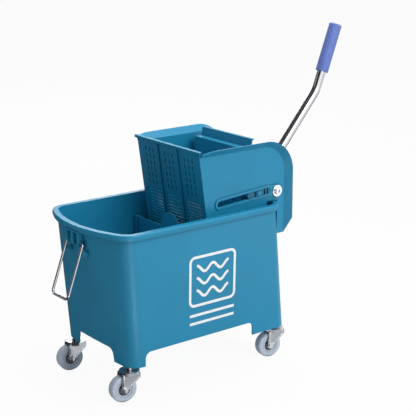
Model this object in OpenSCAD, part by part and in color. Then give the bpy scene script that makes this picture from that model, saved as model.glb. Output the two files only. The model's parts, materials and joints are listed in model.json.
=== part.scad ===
// Two-compartment mop bucket on four swivel casters, with a lever-worked side-press wringer
// Millimetres. +X points to the lever end, +Z is up, the floor is z = 0.

/* [Bucket] */
// Length of the rim, from the bowed front to the rear edge
rim_len = 396; // [370:1:430]
// Width across the rim
rim_w = 255; // [245:1:285]
// Height of the moulding, from the feet of the legs to the rim
bucket_h = 256; // [235:1:300]
// Height of the rim band
rim_h = 11; // [9:0.5:15]
// How far the rim stands out from the wall
rim_over = 7; // [6:0.5:10]
// Thickness of the rim's own skin
rim_skin = 2.5; // [2:0.1:3.5]
// Thickness of the moulded walls
wall = 3; // [2.4:0.1:4]
// Thickness of the water floor
floor_t = 4; // [3:0.1:6]
// Radius of the bowed front at the rim
bow_r = 240; // [210:1:400]
// Radius of the bowed front at the feet
foot_bow_r = 1400; // [900:10:2500]
// Radius of the two front corners
front_r = 30; // [24:1:40]
// Radius of the two rear corners
rear_r = 23; // [16:1:30]
// How far the front wall runs in from the rim to the feet
front_draft = 36; // [20:1:50]
// How far the rear wall runs out from the rim to the feet
rear_flare = 28; // [15:1:36]
// How far each side wall runs in from the rim to the feet
side_draft = 6.5; // [3:0.5:10]
// Height of the legs under the skirt
leg_h = 27; // [20:1:34]
// Length of a front leg along the trolley
front_leg_len = 34; // [30:1:45]
// Length of a rear leg along the trolley
rear_leg_len = 88; // [70:1:100]
// Width of a leg across the trolley
leg_w = 54; // [46:1:62]
// Radius at the top of the openings between the legs
arch_r = 12; // [6:1:18]
// Depth of the skirt below the underside of the water floor
skirt_h = 4; // [2:0.5:6]

/* [Divider] */
// Distance from the rear edge of the rim to the divider
divider_in = 179; // [172:1:215]
// Height of the divider above the water floor
divider_h = 175; // [140:1:190]
// Thickness of the divider
divider_t = 3; // [2.4:0.1:4]
// Radius of the half-round finger tab
tab_r = 30; // [20:1:34]
// Depth and thickness of the guide ribs that hold the divider
guide_rib = 6; // [4:0.5:9]

/* [Bail] */
// Diameter of the wire
wire_d = 5; // [4:0.1:6]
// Width of the bail between wire centres
bail_w = 53; // [52:1:66]
// Length of the bail from its pins to the bar
bail_len = 105; // [85:1:125]
// Radius of the two lower bends, at the wire's centre
bail_bend = 9; // [6:0.5:11]
// Angle at which the bail rests, out from hanging straight
bail_rest = 20; // [14:1:26]
// Height of the pins below the top of the rim
bail_drop = 31; // [29:1:40]
// Width of the moulded lug that carries the pins
lug_w = 40; // [38:1:44]
// Thickness of the lug's ears and half of its middle web
lug_ear = 4; // [3:0.5:5]
// Radius of material round the pins
lug_r = 7; // [6:0.5:9]

/* [Casters] */
// Diameter of the wheels
wheel_d = 50; // [46:1:60]
// Width of the tyres
wheel_w = 19; // [16:1:22]
// Diameter of the hub inside the tyre
hub_d = 29; // [24:1:32]
// Distance the wheel trails behind the swivel
trail = 14; // [10:1:20]
// Angle at which the casters stand, turned from the trolley's length
caster_yaw = -10; // [-40:1:40]
// Diameter of the plug-in stem
stem_d = 9; // [8:0.5:11]
// Length of the stem in its socket
stem_len = 22; // [16:1:24]
// Diameter of the swivel cup
cup_d = 38; // [34:1:42]
// Height of the swivel race and its collar above the fork
race_h = 10.5; // [8:0.5:13]
// Thickness of the fork's sheet
fork_t = 2.5; // [2:0.1:3]
// Diameter of the wheel axle
axle_d = 6; // [5:0.5:8]
// Distance of the front stems from the foot of the front wall
front_stem_in = 12.5; // [12:0.5:18]
// Distance of the rear stems from the foot of the rear wall
rear_stem_in = 14; // [12:1:30]
// Distance of the stems from the foot of the side wall
side_stem_in = 22; // [20:1:26]

/* [Wringer basket] */
// Width between the two side plates
basket_w = 190; // [184:1:200]
// Thickness of the side plates and the basket's sheets
side_t = 3; // [2.4:0.1:4]
// Height of the pivot bolt above the rim
bolt_up = 19; // [17:1:26]
// Distance of the pivot bolt behind the edge of the rim
bolt_back = 2; // [0:1:8]
// Distance from the pivot bolt forward to the strainer
basket_len = 173; // [165:1:178]
// Height of the side plates above the bolt, below the flared border
basket_up = 89; // [84:1:100]
// Depth of the basket floor below the bolt
basket_down = 83; // [80:1:95]
// Lean of the strainer, top edge forward
strainer_lean = 8; // [4:0.5:10]
// Width of the flared border of the side plates
flare = 12; // [8:0.5:14]
// Radius of the side plates' rear top corner
plate_r = 52; // [40:1:60]
// How far the side plates reach behind the bolt, below the flared border
plate_back = 20; // [16:0.5:24]
// Length of the hook that hangs behind the rear wall
hook_len = 68; // [50:1:80]
// Width of the raised border round the slot and the bolt
border = 5; // [3:0.5:7]
// Height of the raised border
border_h = 2; // [1:0.5:3]
// Width of a strainer opening
hole_w = 2.6; // [2:0.1:3.2]
// Length of an upper strainer opening
hole_len = 9; // [7:0.5:11]
// Spacing of the strainer openings along a row
hole_step = 12; // [11:0.5:14]
// Spacing of the rows of strainer openings
row_step = 13; // [12:0.5:16]

/* [Press] */
// Travel of the press plate
stroke = 72; // [60:1:74]
// Distance from the bolt to the pressing face at rest
press_back = 68; // [64:1:76]
// Lean of the pressing face, top edge back
press_lean = 4.4; // [2:0.2:6]
// Room from a side plate to the end of the press plate, for an arm of the press and one of the yoke
press_side = 19; // [18:0.5:25]
// Thickness of the press plate
press_t = 3; // [2.4:0.1:4]
// Depth of the ledge at the top of the pressing face
ledge = 17; // [10:1:22]
// Height of the ledge above the bolt
ledge_up = 86; // [78:1:90]
// Height of the lip above the ledge
lip_h = 17; // [10:1:20]
// Height of the pressing face's lower edge below the bolt
press_down = 69; // [60:1:72]
// Thickness of the press arms
arm_t = 5; // [4:0.5:6]
// Length of a guide shoe
shoe_len = 56; // [50:1:60]
// Height of a guide shoe
shoe_h = 11; // [10:0.5:14]
// Distance from the bolt to the rear end of the guide slot
slot_back = 16; // [15:1:22]
// Tilt of the guide slot, front end down
slot_tilt = 4; // [2:0.5:6]
// Height of the guide slot's line above the bolt
slot_rise = 5; // [2:0.5:8]

/* [Lever] */
// Swing of the lever
lever_swing = 75; // [66:1:80]
// Diameter of the lever tube
tube_d = 18; // [16:0.5:21]
// Wall of the lever tube
tube_wall = 1.5; // [1.2:0.1:2.5]
// Diameter of the cross tube at the lever's foot
cross_d = 23; // [22.5:0.5:26]
// Distance of the cross tube from the bolt
lever_off = 38; // [34:1:44]
// Lean of the lower part of the lever at rest, from upright
lean_low = 41; // [36:0.5:46]
// Lean of the upper part of the lever at rest, from upright
lean_high = 21; // [15:0.5:28]
// Length of the lower part, from the cross tube to the bend
lever_low = 247; // [220:1:270]
// Length of the upper part, from the bend to the end of the grip
lever_high = 140; // [130:1:160]
// Radius of the bend
lever_bend = 70; // [50:1:90]
// Diameter of the grip
grip_d = 26; // [24:0.5:32]
// Length of the grip
grip_len = 100; // [90:1:112]
// Thickness of the yoke arms
yoke_t = 5; // [4:0.5:6]
// Diameter of the pivot axle
pivot_d = 10; // [8:0.5:12]
// Diameter of the drive pins
pin_d = 10; // [8:0.5:11]

/* [Hidden] */
$fn = 40;

// Running fits, gaps between loose pieces, overlaps of fused ones and cuts past a face
run_fit = 0.06;
gap = 0.4;
skin = 0.01;
past = 1;
bow_sides = 240;

// Heights of the caster and the bucket
crown_gap = 2.5;
swivel_gap = 0.4;
crown_z = wheel_d + crown_gap;
leg_z = crown_z + fork_t + swivel_gap + race_h;
rim_z = leg_z + bucket_h;
skirt_z = leg_z + leg_h;
under_z = skirt_z + skirt_h;
floor_z = under_z + floor_t;

// The bucket's walls at a height: x is measured from the rear edge of the rim
function mix(a, b, t) = a + (b - a) * t;
function drop(z) = (rim_z - z) / bucket_h;
function front_x(z) = -rim_len + rim_over + front_draft * drop(z);
function rear_x(z) = -rim_over + rear_flare * drop(z);
function half_w(z) = rim_w / 2 - rim_over - side_draft * drop(z);
function bow(z) = 1 / mix(1 / bow_r, 1 / foot_bow_r, drop(z));

// Stems of the casters
front_stem_x = front_x(leg_z) + front_stem_in;
rear_stem_x = rear_x(leg_z) - rear_stem_in;
stem_y = half_w(leg_z) - side_stem_in;
collar_band = 1.5;
collar_d = stem_d + 2 * collar_band;
race_t = 3;
socket_band = 3.5;
socket_boss_d = stem_d + 2 * socket_band;
neck_step = 1;
neck_d = stem_d - 2 * neck_step;
rivet_band = 2.5;
rivet_d = neck_d + 2 * rivet_band;
rivet_h = 2;

// Openings between the legs
leg_gap_front = front_x(leg_z) + front_leg_len;
leg_gap_rear = rear_x(leg_z) - rear_leg_len;
leg_gap_y = half_w(leg_z) - leg_w;

// Wheels and forks
axle_z = wheel_d / 2;
wheel_room = 1;
wheel_step = 1;
fork_in = wheel_w / 2 + wheel_room;
fork_out = fork_in + fork_t;

// Divider
divider_x = -divider_in;
divider_top = floor_z + divider_h;

// Bail pins and the wall behind them
wire_r = wire_d / 2;
bail_room = 3;
bail_z = rim_z - bail_drop;
bail_x = front_x(bail_z) - wire_r - bail_room;
lug_roof = 2;
pin_bend = (bail_w - lug_w) / 2 - gap;

// Pivot bolt, strainer and basket
bolt_x = bolt_back;
bolt_z = rim_z + bolt_up;
half_in = basket_w / 2;
half_out = half_in + side_t;
function strainer_u(w) = -basket_len - w * tan(strainer_lean);
function strainer_back(w) = strainer_u(w) + side_t / cos(strainer_lean) + gap / 4;
strainer_bottom = -basket_down;

// Edges of the side plates: the rest on the rim, the hook behind it, the part inside the bucket
hook_gap = 5;
flare_taper = 72;
front_flare = 5;
front_taper = 40;
panel_drop = 4;
rear_room = 11;
basket_chamfer = 10;
rest_w = rim_z + gap - bolt_z;
hook_low = rest_w - hook_len;
hook_front = hook_gap - bolt_x;
inside_rear = rear_x(rim_z) - wall - rear_room - bolt_x;
boss_band = 8;
bolt_boss_d = pivot_d + 2 * boss_band;

// Guide slot and stroke, measured from the bolt
slot_len = shoe_len + stroke + 2 * gap;
slot_h = shoe_h + 2 * gap;
slot_mid = -slot_back - slot_len / 2;
shoe_mid = -slot_back - gap - shoe_len / 2;

// Drive pins: a pin in a slot, the swing split evenly about the upright
pin_r = stroke / 2 / sin(lever_swing / 2);
pin_angle = 90 + slot_tilt - lever_swing / 2;
pin_u = pin_r * cos(pin_angle);
pin_w = pin_r * sin(pin_angle);
pin_low = pin_r * cos(lever_swing / 2);
pin_slip = 1.4;
arm_wall = 4.5;
arm_eye = pin_d / 2 + pin_slip + arm_wall;

// Places across the trolley, from the middle outwards
press_w = basket_w - 2 * press_side;
arm_in = press_w / 2;
arm_out = arm_in + arm_t;
arm_room = 2;
yoke_in = arm_out + arm_room;
yoke_out = yoke_in + yoke_t;
pin_end = arm_in - arm_room;

// Pivot bolt, bushes and screws
washer_t = 2;
washer_band = 6.5;
washer_d = pivot_d + 2 * washer_band;
head_band = 2;
head_d = pivot_d + 2 * head_band;
head_h = 5;
socket_wall = 3.5;
socket_d = head_d - 2 * socket_wall;
socket_deep = 3;
nut_band = 4;
nut_d = pivot_d + 2 * nut_band;
nut_h = 7;
thread_out = 2;
spacer_band = 4;
spacer_d = pivot_d + 2 * spacer_band;
bush_t = 2;
bush_d = pivot_d + 2 * bush_t;
pivot_out = half_out + border_h;
screw_d = 5;
screw_head_h = 2;
shoe_sunk = 0.5;
shoe_slit = 3;
shoe_out = half_out + border_h - shoe_sunk;
yoke_wall = 4;

// Lever
tube_r = tube_d / 2;
cross_u = lever_off * cos(lean_low);
cross_w = -lever_off * sin(lean_low);
bend_u = cross_u + lever_low * sin(lean_low);
bend_w = cross_w + lever_low * cos(lean_low);
grip_r = grip_d / 2;
grip_edge = 3;
grip_cap = 4;
top_len = lever_high - grip_cap;
edge_u = bend_u + (lever_high - grip_edge) * sin(lean_high) + (grip_r - grip_edge) * cos(lean_high);
bend_turn = lean_low - lean_high;
bend_draw = 0.1;
bend_cut = lever_bend * tan(bend_turn / 2);

// The frame's origin stands on the floor under the middle of the whole trolley
reach_front = bail_x - bail_len * sin(bail_rest) - wire_r;
reach_rear = bolt_x + edge_u + grip_edge;
mid_x = (reach_front + reach_rear) / 2;

// Colours
plastic = [0.20, 0.50, 0.63];
plastic_dark = [0.12, 0.40, 0.52];
zinc = [0.75, 0.77, 0.80];
chrome = [0.82, 0.84, 0.86];
tyre_grey = [0.62, 0.66, 0.72];
hub_grey = [0.72, 0.75, 0.80];
grip_violet = [0.40, 0.47, 0.78];
shoe_grey = [0.45, 0.50, 0.55];

module in_frame() translate([-mid_x, 0, 0]) children();
module at_bolt() translate([bolt_x - mid_x, 0, bolt_z]) children();
module mirrored() mirror([0, 1, 0]) children();
module both() {
    children();
    mirrored() children();
}

// A profile drawn in x and z, as a slab from y0 to y0 + t
module slab(y0, t) translate([0, y0 + t, 0]) rotate([90, 0, 0]) linear_extrude(t) children();
// A profile drawn in y and z, as a slab from x = 0 to x = t
module wall_slab(t) rotate([90, 0, 90]) linear_extrude(t) children();
// A rod along y
module rod(d, y0, y1) translate([0, y0, 0]) rotate([-90, 0, 0]) cylinder(d = d, h = y1 - y0);
// A bar with round ends along x
module stadium(len, h) {
    square([len - h, h], center = true);
    for (s = [-1, 1]) translate([s * (len - h) / 2, 0]) circle(d = h);
}

// Plan of the bucket: bowed front blended into round corners, straight rear
module plan(front, rear, half, fr, rr, bow) {
    centre = front + bow;
    fy = half - fr;
    fx = centre - sqrt(pow(bow - fr, 2) - pow(fy, 2));
    spread = 2 * bow / (bow - fr);
    intersection() {
        translate([centre, 0]) circle(bow, $fn = bow_sides);
        polygon([[fx, fy], [centre + spread * (fx - centre), spread * fy],
            [centre + spread * (fx - centre), -spread * fy], [fx, -fy]]);
    }
    for (s = [-1, 1]) {
        translate([fx, s * fy]) circle(fr);
        translate([rear - rr, s * (half - rr)]) circle(rr);
    }
    translate([fx, -half]) square([rear - rr - fx, 2 * half]);
    translate([rear - rr - past, rr - half]) square([rr + past, 2 * (half - rr)]);
}

// Plan of the bucket at a height, drawn in or out from the outside of the wall
module plan_at(z, inset) plan(front_x(z) + inset, rear_x(z) - inset, half_w(z) - inset,
    front_r - inset, rear_r - inset, bow(z) - inset);

module tub(z0, z1, inset) hull() {
    translate([0, 0, z0]) linear_extrude(skin) plan_at(z0, inset);
    translate([0, 0, z1 - skin]) linear_extrude(skin) plan_at(z1, inset);
}

module rim() translate([0, 0, rim_z - rim_h]) difference() {
    linear_extrude(rim_h) plan_at(rim_z, -rim_over);
    translate([0, 0, -past]) linear_extrude(rim_h - rim_skin + past) difference() {
        plan_at(rim_z, rim_skin - rim_over);
        plan_at(rim_z, wall / 2);
    }
}

// Lug under the front of the rim, with a pocket either side of its web, and a stop for the bail
module bail_lug() {
    lug_top = bail_drop - rim_h + past;
    translate([bail_x, 0, bail_z]) {
        slab(-lug_w / 2, lug_w) {
            circle(lug_r);
            translate([-lug_r, 0]) square([2 * lug_r + past, lug_top]);
            polygon([[-lug_r, 0], [0, -lug_r], [lug_r, -2 * lug_r], [2 * lug_r, -2 * lug_r],
                [2 * lug_r, 0]]);
        }
        both() rotate([0, bail_rest, 0]) translate([wire_r + gap, bail_w / 2 - wire_r, -3 * lug_r])
            cube([3 * lug_r, wire_d, lug_r]);
    }
}

module lug_pockets() translate([bail_x, 0, bail_z]) {
    pocket_w = lug_w / 2 - 2 * lug_ear;
    rod(wire_d + 2 * run_fit, -lug_w / 2 - past, lug_w / 2 + past);
    for (s = [-1, 1]) translate([-lug_r - past, s * lug_w / 4 - pocket_w / 2, -lug_r])
        cube([2 * lug_r, pocket_w, lug_r + bail_drop - rim_h - lug_roof]);
}

// Openings between the legs, drawn as an arch from below the feet to the skirt
module arch(x0, x1) {
    w = x1 - x0;
    translate([x0, leg_z - past]) {
        square([w, leg_h + past - arch_r]);
        translate([arch_r, 0]) square([w - 2 * arch_r, leg_h + past]);
        for (x = [arch_r, w - arch_r]) translate([x, leg_h + past - arch_r]) circle(arch_r);
    }
}

module leg_openings() {
    slab(-rim_w, 2 * rim_w) arch(leg_gap_front, leg_gap_rear);
    translate([-2 * rim_len, 0, 0]) wall_slab(3 * rim_len) arch(-leg_gap_y, leg_gap_y);
}

// Hollow under the water floor, straight so that its walls overhang nothing
module under_floor() translate([0, 0, leg_z - past]) linear_extrude(under_z - leg_z + past)
    plan(front_x(leg_z) + wall, rear_x(under_z) - wall, half_w(leg_z) - wall,
        front_r - wall, rear_r - wall, bow(leg_z) - wall);

module stem_places() for (x = [front_stem_x, rear_stem_x], y = [-stem_y, stem_y])
    translate([x, y, leg_z]) children();

// Sockets for the stems, each tied to the leg's two walls by a rib
module stem_sockets() intersection() {
    tub(leg_z, floor_z, wall / 2);
    for (end = [0, 1], side = [-1, 1])
        translate([end > 0 ? rear_stem_x : front_stem_x, side * stem_y, leg_z]) {
            cylinder(d = socket_boss_d, h = floor_z - leg_z);
            for (turn = [180 * (1 - end), 90 * side]) rotate(turn) translate([0, -wall / 2, 0])
                cube([side_stem_in, wall, floor_z - leg_z]);
        }
}

// Ribs on the side walls, a pair each side, that hold the divider's edges
module guide_ribs() intersection() {
    tub(leg_z, rim_z - rim_h, wall / 2);
    for (s = [-1, 1], e = [-1, 1])
        translate([divider_x + e * (divider_t / 2 + gap / 2 + guide_rib / 4) - guide_rib / 4,
            s > 0 ? half_w(floor_z) - wall - guide_rib : -rim_w, floor_z - past])
            cube([guide_rib / 2, rim_w - half_w(floor_z) + wall + guide_rib, divider_h + past]);
}

module bucket() color(plastic) in_frame() difference() {
    union() {
        difference() {
            union() {
                tub(leg_z, rim_z - past, 0);
                rim();
                bail_lug();
            }
            tub(floor_z, rim_z + past, wall);
            under_floor();
            leg_openings();
        }
        stem_sockets();
        guide_ribs();
    }
    lug_pockets();
    stem_places() translate([0, 0, -past]) cylinder(d = stem_d + 2 * run_fit, h = stem_len + 2 * past);
}

// Loose-fitting partition with a half-round finger tab
module divider() color(plastic) in_frame() {
    low = half_w(floor_z) - wall - gap;
    high = half_w(divider_top) - wall - gap;
    translate([divider_x - divider_t / 2, 0, 0]) wall_slab(divider_t) {
        polygon([[-low, floor_z], [low, floor_z], [high, divider_top], [-high, divider_top]]);
        translate([0, divider_top]) circle(tab_r);
    }
}

// Quarter bend of the wire, from the x axis to the y axis
module elbow(r, d) rotate_extrude(angle = 90) translate([r, 0]) circle(d = d);

module bail_handle() color(chrome) in_frame() translate([bail_x, 0, bail_z]) rotate([0, bail_rest, 0])
    rotate([90, 0, 90]) {
        w = bail_w / 2;
        leg = bail_len - pin_bend - bail_bend;
        for (s = [0, 1]) mirror([s, 0, 0]) {
            translate([lug_w / 4, 0, 0]) rotate([0, 90, 0])
                cylinder(d = wire_d, h = w - pin_bend - lug_w / 4);
            translate([w - pin_bend, -pin_bend, 0]) elbow(pin_bend, wire_d);
            translate([w, -pin_bend, 0]) rotate([90, 0, 0]) cylinder(d = wire_d, h = leg);
            translate([w - bail_bend, bail_bend - bail_len, 0]) rotate([0, 0, -90])
                elbow(bail_bend, wire_d);
        }
        translate([bail_bend - w, -bail_len, 0]) rotate([0, 90, 0])
            cylinder(d = wire_d, h = bail_w - 2 * bail_bend);
    }

// Casters, drawn about the swivel axis with the wheel trailing towards -x
module caster(x, y) in_frame() translate([x, y, 0]) rotate([0, 0, caster_yaw]) children();
module at_wheel() translate([-trail, 0, axle_z]) children();

module caster_stem() color(zinc) {
    race_d = cup_d - 2 * fork_t - 2 * gap;
    translate([0, 0, leg_z]) cylinder(d = stem_d, h = stem_len);
    translate([0, 0, leg_z - race_h]) cylinder(d = collar_d, h = race_h);
    translate([0, 0, leg_z - race_h]) cylinder(d = race_d, h = race_t);
    translate([0, 0, crown_z - gap - skin]) cylinder(d = neck_d, h = fork_t + swivel_gap + gap + past);
    translate([0, 0, crown_z - gap - rivet_h]) cylinder(d = rivet_d, h = rivet_h);
}

module caster_fork() color(zinc) {
    shoulder = 6;
    lead = cup_d / 2 - fork_t;
    tail = cup_d / 2 - fork_t / 2;
    eye_wall = 3.5;
    eye_r = axle_d / 2 + eye_wall;
    difference() {
        union() {
            translate([0, 0, crown_z]) cylinder(d = cup_d, h = fork_t + swivel_gap + race_t);
            translate([-tail, -fork_out, crown_z]) cube([tail + lead, 2 * fork_out, fork_t]);
            translate([lead - fork_t, -fork_out, crown_z - shoulder])
                cube([fork_t, 2 * fork_out, shoulder + past]);
            both() slab(fork_in, fork_t) {
                polygon([[-tail, crown_z + fork_t], [lead, crown_z + fork_t], [lead, crown_z - shoulder],
                    [eye_r - trail, axle_z], [-eye_r - trail, axle_z]]);
                translate([-trail, axle_z]) circle(eye_r);
            }
        }
        translate([0, 0, crown_z + fork_t]) cylinder(d = cup_d - 2 * fork_t, h = race_h);
        translate([0, 0, crown_z - past]) cylinder(d = neck_d + 2 * run_fit, h = fork_t + 2 * past);
        at_wheel() rod(axle_d + 2 * run_fit, -2 * fork_out, 2 * fork_out);
    }
}

module caster_axle() color(zinc) at_wheel() {
    cap_h = 2.5;
    cap_d = axle_d + 4;
    rod(axle_d, -fork_out - cap_h, fork_out + cap_h);
    both() translate([0, fork_out, 0]) rotate([-90, 0, 0]) cylinder(d = cap_d, h = cap_h, $fn = 6);
}

module caster_hub() color(hub_grey) at_wheel() rotate([90, 0, 0]) rotate_extrude() {
    bore = axle_d / 2 + run_fit;
    band = 3;
    boss = axle_d / 2 + band + past;
    translate([bore, -wheel_w / 2]) square([boss - bore, wheel_w]);
    translate([bore, -wheel_w / 6]) square([hub_d / 2 - bore, wheel_w / 3]);
    translate([hub_d / 2 - band, wheel_step - wheel_w / 2]) square([band, wheel_w - 2 * wheel_step]);
}

module caster_tyre() color(tyre_grey) at_wheel() rotate([90, 0, 0]) rotate_extrude() {
    shoulder = 4;
    r = wheel_d / 2;
    bead = r - shoulder - hub_d / 2;
    translate([hub_d / 2, wheel_step - wheel_w / 2]) square([bead, wheel_w - 2 * wheel_step]);
    translate([hub_d / 2 + wheel_step, -wheel_w / 2]) square([bead - wheel_step, wheel_w]);
    translate([r - shoulder, shoulder - wheel_w / 2]) square([shoulder, wheel_w - 2 * shoulder]);
    for (s = [-1, 1]) translate([r - shoulder, s * (wheel_w / 2 - shoulder)]) circle(shoulder);
}

// Outline of a side plate, measured from the bolt
module plate_outline() {
    polygon([[strainer_u(strainer_bottom), strainer_bottom], [strainer_u(basket_up), basket_up],
        [plate_back - plate_r, basket_up], [plate_back - plate_r, basket_up - plate_r],
        [plate_back, basket_up - plate_r], [plate_back, hook_low], [hook_front, hook_low],
        [hook_front, rest_w], [inside_rear, rest_w], [inside_rear, strainer_bottom + basket_chamfer],
        [inside_rear - basket_chamfer, strainer_bottom]]);
    translate([plate_back - plate_r, basket_up - plate_r]) circle(plate_r);
}

module guide_slot(grow) rotate(slot_tilt) translate([slot_mid, slot_rise])
    stadium(slot_len + 2 * grow, slot_h + 2 * grow);

// Section of the flared border: along the plate's edge, then out at 45 degrees
module flare_section(edge) polygon([[edge - past, half_in], [edge, half_in], [edge + flare, half_in + flare],
    [edge + flare, half_out + flare], [edge, half_out], [edge - past, half_out]]);

// The border grows from the strainer, runs over the rear corner and tapers away down the hook
module flared_border() difference() {
    front = strainer_u(basket_up + flare);
    corner_u = plate_back - plate_r;
    corner_w = basket_up - plate_r;
    union() {
        translate([front, 0, basket_up]) wall_slab(corner_u - front) mirror([1, -1]) flare_section(0);
        translate([0, 0, hook_low]) linear_extrude(corner_w - hook_low) flare_section(plate_back);
        translate([corner_u, 0, corner_w]) rotate([90, 0, 0]) rotate_extrude(angle = 90)
            mirror([0, 1]) flare_section(plate_r);
    }
    translate([0, 0, basket_up]) linear_extrude(2 * flare)
        polygon([[front, half_out + front_flare], [front + front_taper, half_out + flare],
            [front + front_taper, half_out + 2 * flare], [front, half_out + 2 * flare]]);
    slab(half_in - past, 2 * flare) {
        polygon([[plate_back, hook_low - past], [plate_back, hook_low],
            [plate_back + flare, hook_low + flare_taper], [plate_back + 2 * flare, hook_low + flare_taper],
            [plate_back + 2 * flare, hook_low - past]]);
        polygon([[strainer_back(0), 0], [strainer_back(2 * basket_up), 2 * basket_up],
            [2 * front, 2 * basket_up], [2 * front, 0]]);
    }
}

module wringer_side() color(plastic) difference() {
    union() {
        slab(half_in, side_t) plate_outline();
        flared_border();
        slab(half_out - skin, border_h + skin) {
            guide_slot(border);
            circle(d = bolt_boss_d);
            rotate(slot_tilt) link(0, 0, bolt_boss_d / 2 - past,
                -slot_back - slot_h / 2, slot_rise, slot_h / 2 + border - past);
        }
    }
    slab(half_in - past, side_t + border_h + 2 * past) guide_slot(0);
    rod(pivot_d + 2 * run_fit, half_in - past, half_out + border_h + past);
}

module wringer_side_right() at_bolt() wringer_side();
module wringer_side_left() at_bolt() mirrored() wringer_side();

// Openings of one strainer panel: upright ticks above, level slots below
module panel_openings(w, bottom, top) {
    tick_rows = floor((top - bottom) / 2 / row_step);
    slot_rows = floor((top - bottom) / 2 / (row_step / 2));
    columns = floor(w / hole_step);
    for (r = [0 : tick_rows - 1], c = [0 : columns - 1])
        translate([(c - (columns - 1) / 2) * hole_step, top - (r + 0.5) * row_step])
            square([hole_w, hole_len], center = true);
    for (r = [0 : slot_rows - 1])
        translate([0, bottom + (r + 0.5) * row_step / 2])
            square([w, hole_w], center = true);
}

module strainer_front() color(plastic_dark) at_bolt()
    translate([-basket_len, 0, 0]) rotate([0, -strainer_lean, 0]) {
        stretch = 1 / cos(strainer_lean);
        bottom = strainer_bottom * stretch;
        neck = (basket_up + gap) * stretch;
        top = (basket_up + flare) * stretch;
        brim = half_out + front_flare;
        rib_w = 5;
        panel_w = (basket_w - 4 * rib_w) / 3;
        wall_slab(side_t) difference() {
            polygon([[-half_in, bottom], [half_in, bottom], [half_in, neck], [half_out, neck], [brim, top],
                [-brim, top], [-half_out, neck], [-half_in, neck]]);
            for (p = [-1 : 1]) translate([p * (panel_w + rib_w), 0])
                panel_openings(panel_w - 2 * rib_w, bottom + rib_w, neck - rib_w);
        }
        for (p = [-1, 1]) translate([-rib_w / 2, p * (panel_w + rib_w) / 2 - rib_w / 4, bottom])
            cube([rib_w / 2 + skin, rib_w / 2, top - bottom]);
        translate([-rib_w / 2, -brim, top - rib_w]) cube([rib_w / 2 + skin, 2 * brim, rib_w]);
    }

module basket_floor() color(plastic_dark) at_bolt() {
    front = strainer_back(strainer_bottom);
    rear = inside_rear - basket_chamfer;
    rows = floor((rear - front - hole_step) / hole_step);
    slot_w = (basket_w - 4 * hole_step) / 3;
    translate([0, 0, strainer_bottom]) linear_extrude(side_t) difference() {
        translate([front, -half_in]) square([rear - front, basket_w]);
        for (r = [0 : rows - 1], p = [-1 : 1])
            translate([front + (r + 1) * hole_step, p * (slot_w + hole_step)])
                square([2 * hole_w, slot_w], center = true);
    }
}

// Panel behind the bucket's rear wall that ties the two hooks together
module rear_panel() color(plastic) at_bolt() translate([hook_front, 0, hook_low]) wall_slab(side_t)
    translate([-half_in, 0]) square([basket_w, rest_w - panel_drop - hook_low]);

// Pivot axle with a socket head, washers, a nut and spacers that centre the yoke
module pivot_axle() color(zinc) at_bolt() {
    rod(pivot_d, -pivot_out - washer_t, pivot_out + washer_t + nut_h + thread_out);
    translate([0, -pivot_out - washer_t, 0]) rotate([90, 0, 0]) difference() {
        cylinder(d = head_d, h = head_h);
        translate([0, 0, head_h - socket_deep]) cylinder(d = socket_d, h = socket_deep + past, $fn = 6);
    }
}

module pivot_washers() color(zinc) at_bolt() both() difference() {
    rod(washer_d, pivot_out, pivot_out + washer_t);
    rod(pivot_d + 2 * run_fit, pivot_out - past, pivot_out + washer_t + past);
}

module pivot_nut() color(zinc) at_bolt() difference() {
    translate([0, pivot_out + washer_t, 0]) rotate([-90, 0, 0]) cylinder(d = nut_d, h = nut_h, $fn = 6);
    rod(pivot_d + 2 * run_fit, pivot_out, pivot_out + washer_t + nut_h + past);
}

module pivot_spacers() color(shoe_grey) at_bolt() both() difference() {
    rod(spacer_d, yoke_out + gap, half_in);
    rod(pivot_d + 2 * run_fit, yoke_out, half_in + past);
}

// Yoke: an arm each side, from the pivot up to the drive pin and back to the cross tube
module yoke_arm() color(zinc) difference() {
    hub_r = bush_d / 2 + yoke_wall;
    eye_r = pin_d / 2 + yoke_wall;
    foot_r = cross_d / 2 + yoke_wall;
    strip_in = yoke_wall - past;
    union() {
        rod(2 * hub_r, yoke_in, yoke_out);
        translate([pin_u, 0, pin_w]) rod(2 * eye_r, yoke_in, yoke_out);
        translate([cross_u, 0, cross_w]) rod(2 * foot_r, yoke_in, yoke_out);
        slab(yoke_in, yoke_t) link(0, 0, hub_r - strip_in, pin_u, pin_w, eye_r - strip_in);
        slab(yoke_in, yoke_t) link(0, 0, hub_r - strip_in, cross_u, cross_w, foot_r - strip_in);
        slab(yoke_in, yoke_t) link(pin_u, pin_w, eye_r - strip_in, cross_u, cross_w, foot_r - strip_in);
    }
    rod(bush_d, yoke_in - past, yoke_out + past);
    translate([pin_u, 0, pin_w]) rod(pin_d, yoke_in - past, yoke_out + past);
    translate([cross_u, 0, cross_w]) rod(cross_d, yoke_in - past, yoke_out + past);
}

// Straight-sided strip between two round ends of different radius
module link(u0, w0, r0, u1, w1, r1) {
    d = sqrt(pow(u1 - u0, 2) + pow(w1 - w0, 2));
    turn = atan2(w1 - w0, u1 - u0);
    side = acos((r0 - r1) / d);
    polygon([[u0 + r0 * cos(turn + side), w0 + r0 * sin(turn + side)],
        [u1 + r1 * cos(turn + side), w1 + r1 * sin(turn + side)],
        [u1 + r1 * cos(turn - side), w1 + r1 * sin(turn - side)],
        [u0 + r0 * cos(turn - side), w0 + r0 * sin(turn - side)]]);
}

module yoke_arm_right() at_bolt() yoke_arm();
module yoke_arm_left() at_bolt() mirrored() yoke_arm();

module yoke_bushes() color(shoe_grey) at_bolt() both() difference() {
    rod(bush_d, yoke_in, yoke_out);
    rod(pivot_d + 2 * run_fit, yoke_in - past, yoke_out + past);
}

module drive_pins() color(zinc) at_bolt() both() translate([pin_u, 0, pin_w]) rod(pin_d, pin_end, yoke_out);

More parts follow.
